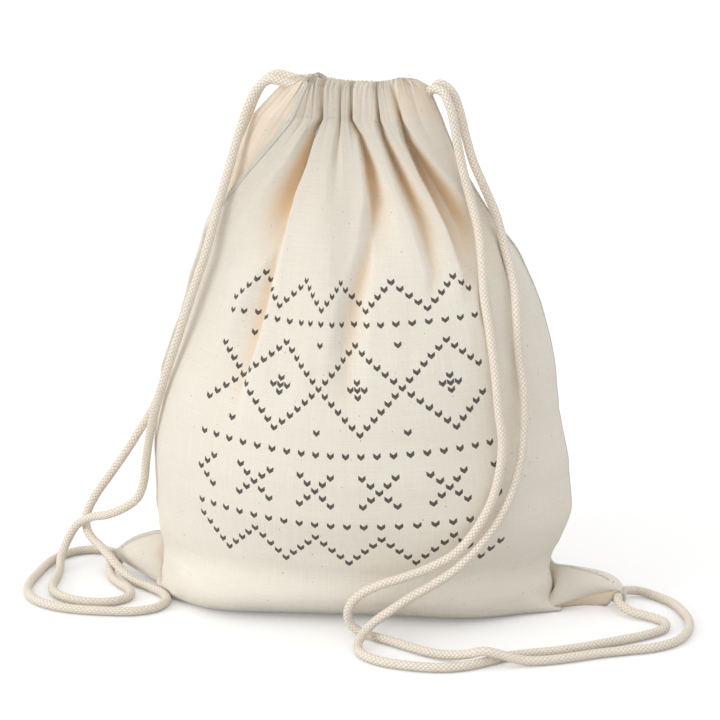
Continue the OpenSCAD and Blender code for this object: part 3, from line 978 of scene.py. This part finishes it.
def with_hem(grid, hem_line, folds, face):
    """Adds the pleated hem: the panel's folds run on, close up over the cords and end inside."""
    closed, turn_over = 0.34, 0.84  # shares of the hem's height
    x = hem_middle(hem_line, face, 0)[0][:, 0] / MM
    run = lengths_along(grid[-1, :, :2]) / MM
    roll = puffs(x, FRONT_CREASES) if face < 0 else puffs(run, BACK_CREASES)
    crinkle = np.sin(2 * math.pi * run / 2.6 + 2.4 * np.sin(run / 4.1)) * 0.6
    fade = off_sides(SIDE_FADE)
    crease = fold_depth(x, FOLD_TOP, folds) / 5 * fade
    rise = np.interp(x, *np.array(HEM_RISE).T) * MM
    top = MOUTH_TOP + (-0.5 - face * 1.3 * fade) * MM

    def outer(h):
        """How far the outer wall stands from the middle line at a share of the hem's height."""
        deep = 6.5 - 6 * h if h < closed else 4.5 - 2.5 * (h - closed)
        pleats = np.maximum(HEM_FOOT - 3 * h - crease * deep, -3 * (1 - ease(0, closed, h)))
        ruffle = roll * (0.9 + 0.2 * h) + crinkle * 0.6 * ease(0.35, 0.9, h)
        return HEM_WALL + (pleats + ruffle * fade) * MM

    def rim(h, offset, lift=0):
        """One row of the hem at a share of its height."""
        p, out = hem_middle(hem_line, face, h)
        p[:, 2] = STITCH_Z + (top - STITCH_Z) * h + rise * h + lift
        return p + out * offset[:, None]

    panel = grid.copy()
    near = np.exp(-(np.maximum(0, STITCH_Z - panel[..., 2]) / (12 * MM)) ** 2)[..., None]
    panel[..., :2] += (rim(0, outer(0))[None, :, :2] - grid[-1:, :, :2]) * near

    rows = [rim(h, outer(h)) for h in np.linspace(0.06, turn_over, 13)]
    lip = (crinkle * 1.6 + roll * 0.7) * MM * fade
    for a in np.linspace(15, 165, 8):
        c, up = math.cos(math.radians(a)), math.sin(math.radians(a))
        side = outer(turn_over) * c if c > 0 else HEM_WALL * c
        h = turn_over + (1 - turn_over) * up
        rows.append(rim(h, side - 1.4 * MM * up + lip * 0.5, lip * 0.7 * up))
    for h in np.linspace(0.8, 0.05, 6):
        rows.append(rim(h, -HEM_WALL + roll * 0.7 * MM * fade))
    return np.concatenate([panel, np.array(rows)])


# Flaps of the bottom corners, in millimetres: side, tip, end of the bottom edge and of the top
# edge at the body, the lengths of cloth along both edges, how far the top and bottom edges curve
# up, and the power that draws the top edge's curve towards the tip
EARS = [
    (-1, (-164, 0, 10), (-118, -28, 0.4), (-126, 0, 30), 54, 72, 5, 0, 0.7),
    (1, (167, -2, 9), (116, -20, 0.4), (123, 2, 25), 55, 68, 9, 5, 0.45),
]


def ear_place(side, p_length, q_length):
    """Shares of the way from the corner's tip along the bottom edge and along the side edge."""
    along_bottom = (fine_shares if side < 0 else 1 - fine_shares) * CLOTH_W / MM / p_length
    return along_bottom[None, :], fine_heights[:, None] / MM / q_length


def eared(grid, face):
    """Lays the bottom corners into the flat flaps that the cords are sewn to."""
    out = grid / MM
    if face < 0:
        x, z = out[..., 0], out[..., 2]
        off_seams = ease(0, 14, fine_heights / MM)[:, None] * off_sides(0.04)
        near_floor = (1 - ease(6, 45, z)) * off_seams
        out[..., 1] += 12 * (ease(80, 130, -x) + ease(80, 138, x)) * near_floor
        middle = (1 - ease(60, 120, np.abs(x))) * (1 - ease(4, 40, z))
        out[..., 1] *= 1 + 0.2 * middle * ease(15, 35, -out[..., 1])
    for side, tip, foot, shoulder, p_length, q_length, crown, lift, bend in EARS:
        tip, foot, shoulder = np.array((tip, foot, shoulder), float)
        a, b = ear_place(side, p_length, q_length)
        both = a + b
        turn = b / np.maximum(both, 0.02)
        flat = tip + a[..., None] * (foot - tip) + b[..., None] * (shoulder - tip)
        inner = np.sin(math.pi * np.clip(both, 0, 1))
        under = face > 0 and lift > 0
        flat[..., 1] += face * (1 if under else 5) * inner * 4 * turn * (1 - turn)
        flat[..., 2] += crown * np.sin(math.pi * np.clip(b, 0, 1) ** bend) * turn
        flat[..., 2] += lift * np.sin(math.pi * np.clip(a, 0, 1) ** 0.6) * (1 - turn)
        if under:
            flat[..., 2] -= 14 * np.sin(math.pi * np.clip(turn / 0.8, 0, 1)) * ease(0, 0.25, both)
        w = (1 - ease(0.8, 1.45, both))[..., None]
        out = out * (1 - w) + flat * w
    out[..., 2] = np.maximum(out[..., 2], PLY / MM)
    return out * MM


def shaped(grid, hem_line, folds, face):
    """Panel without and with its hem."""
    panel = clear_of_cords(eared(folded(drawn_up(grid, hem_line, face), folds, face), face))
    return panel, with_hem(panel, hem_line, folds, face)


front, front_full = shaped(front, FRONT_HEM_LINE, FRONT_FOLDS, -1)
back, back_full = shaped(back, BACK_HEM_LINE, BACK_FOLDS, 1)
hem_rows = front_full.shape[0] - front.shape[0]
hem_v = CLOTH_H + np.linspace(0.05, 2, hem_rows) * HEM_H
flat_u, flat_v = np.meshgrid((fine_shares - 0.5) * CLOTH_W, np.append(fine_heights, hem_v))


def painted_shade_amounts(grid, folds, face):
    """Painted shade at each point, from 0 on the open cloth to 1 deep inside a fold, and in spots
    that lie in shade.
    """
    full_dip, full_fold = 3.8, 12  # millimetres
    soft = smoothed(grid, 60, axis=1)
    inward = np.sum((soft - grid) * outward(grid, face), -1) / MM
    x, z = grid[..., 0] / MM, grid[..., 2] / MM
    in_fold = (fold_depth(x, z, folds) / full_fold) ** 1.6 * (0.25 + 0.75 * ease(200, 262, z))
    a, b = ear_place(EARS[1][0], *EARS[1][4:6])
    both = np.full(x.shape, 9.0)
    both[:len(fine_heights)] = a + b
    # Painted shade: warm tan in concave spots, in the main folds and along the top of the cloth.
    painted_shades = [inward / full_dip, in_fold, 0.08 * ease(225, 262, z) + 0.06 * ease(285, 305, z)]
    if face < 0:
        # Painted shade at the front hem's right end, at its left end and in the dent above the
        # right flap.
        painted_shades += [
            0.4 * ease(290, 310, z) * ease(22, 27, x),
            0.25 * ease(285, 305, z) * (1 - ease(-30, -18, x)),
            0.45 * np.exp(-((both - 1.3) / 0.16) ** 2) * ease(4, 12, z),
        ]
    else:
        # Painted shade on the back's left end under the hem and on the underside of the right flap.
        painted_shades += [
            0.4 * ease(225, 262, z) * (1 - ease(0.12, 0.2, fine_shares)),
            0.5 * (1 - ease(0.9, 1.1, both)),
        ]
    return np.clip(np.max(painted_shades, 0), 0, 1)


front_cloth = sheet_piece("front_cloth", front_full, flat_u, flat_v, front_finish)
back_cloth = sheet_piece("back_cloth", back_full, flat_u, flat_v, back_finish, flip=True)
for cloth, nodes, grid, folds, face in (
    (front_cloth, ("front_panel", "front_hem"), front_full, FRONT_FOLDS, -1),
    (back_cloth, ("back_panel", "back_hem"), back_full, BACK_FOLDS, 1),
):
    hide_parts(*nodes)
    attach(cloth, "bag")
    # Painted shade amounts stored on the points, which the cloth's colour reads.
    depth = cloth.data.attributes.new("painted_shade", "FLOAT", "POINT")
    depth.data.foreach_set("value", painted_shade_amounts(grid, folds, face).astype(np.float32).ravel())


# Seams and sewn corners

def welt(name, lines, radius, node_name):
    """Raised rolls of cloth along a seam, as one piece."""
    parts = []
    for line in lines:
        path = evenly(line, 2.2 * MM)
        rings, run = tube(path, 8, radius)
        parts.append(tube_piece(name + "_roll", rings, run, seam_finish))
    with bpy.context.temp_override(active_object=parts[0], selected_editable_objects=parts):
        if len(parts) > 1:
            bpy.ops.object.join()
    made = parts[0]
    made.name = name
    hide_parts(node_name)
    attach(made, "bag")


upright = slice(4, front.shape[0] + 14)  # rows from the corner flap to the top of the hem
left_lines = [front_full[upright, 1], back_full[upright, 1]]
right_lines = [front_full[upright, -3], back_full[upright, -3]]
off_floor = (-1, -1, 0.8 * MM)
bottom_lines = [np.maximum(front[0, 6:-6], off_floor)]
welt("left_seam_welt", left_lines, 1.3 * MM, "left_side_seam")
welt("right_seam_welt", right_lines, 0.5 * MM, "right_side_seam")
welt("bottom_seam_welt", bottom_lines, 0.7 * MM, "bottom_seam")


def corner(name, node_name):
    """Sewn tip of a bottom corner: folded cloth wound with thread, with the cord's ends inside."""
    low, high = np.array(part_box(node_name))
    centre, half = (low + high) / 2, (high - low) / 2
    rows, cols = 26, 28
    lat = np.linspace(-89.9, 89.9, rows) * math.pi / 180
    lon = np.linspace(0, 2 * math.pi, cols, endpoint=False)

    def power(value, p):
        return np.sign(value) * np.abs(value) ** p

    x = power(np.sin(lat), 0.55)[:, None] * np.ones(cols)
    r = power(np.cos(lat), 0.5)[:, None]
    y = r * power(np.cos(lon), 0.8)
    z = r * power(np.sin(lon), 0.8)
    pitch = 1.4
    wound = 1 + 0.035 * np.sin(x * half[0] / MM * 2 * math.pi / pitch)
    grid = np.stack([x * half[0], y * half[1] * wound, z * half[2] * wound], -1) + centre
    faces = grid_faces(rows, cols, around=True)
    uv = np.stack([x * half[0], z * half[2] + y * half[1]], -1).reshape(-1, 2)
    made = piece(name, grid.reshape(-1, 3), faces, uv[faces.ravel()], tack_finish)
    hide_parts(node_name)
    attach(made, "bag")


corner("left_sewn_corner", "left_corner_tack")
corner("right_sewn_corner", "right_corner_tack")


# Light and floor

def studio():
    """White surroundings, one soft key light and a white floor that keeps the shadow."""
    scene = bpy.context.scene
    scene.view_settings.view_transform = "Standard"
    world = bpy.data.worlds.new("studio")
    scene.world = world
    world.use_nodes = True
    tree = world.node_tree
    seen = node(tree, "ShaderNodeLightPath")[0]
    fill(tree, tree.nodes["Background"], {"Color": (1, 1, 1, 1), "Strength": 0.95 + 0.05 * seen})

    sun = bpy.data.lights.new("key", "SUN")
    sun.energy = 1.1
    sun.angle = math.radians(30)
    sun.color = (1.0, 0.99, 0.97)
    key = placed("key", sun)
    key.rotation_mode = "QUATERNION"
    key.rotation_quaternion = Vector((-0.75, -0.65, 0.3)).to_track_quat("Z", "Y")

    floor = level_square("floor", 8)
    paper = bpy.data.materials.new("paper")
    paper.use_nodes = True
    tree = paper.node_tree
    camera_ray = node(tree, "ShaderNodeLightPath")[0]
    bounced, seen_white = (0.62, 0.62, 0.62), (0.90, 0.90, 0.90)
    shader = tree.nodes["Principled BSDF"]
    fill(tree, shader, {"Base Color": mix(camera_ray, bounced, seen_white),
                        "Roughness": 1.0, "Specular IOR Level": 0.0})
    glow = node(tree, "ShaderNodeEmission", None, {"Strength": camera_ray * 0.17})[0]
    paint = Val(tree, shader.outputs[0])
    both = node(tree, "ShaderNodeAddShader", None, {0: paint, 1: glow})[0]
    fill(tree, tree.nodes["Material Output"], {"Surface": both})
    floor.data.materials.append(paper)


studio()

bpy.context.view_layer.update()
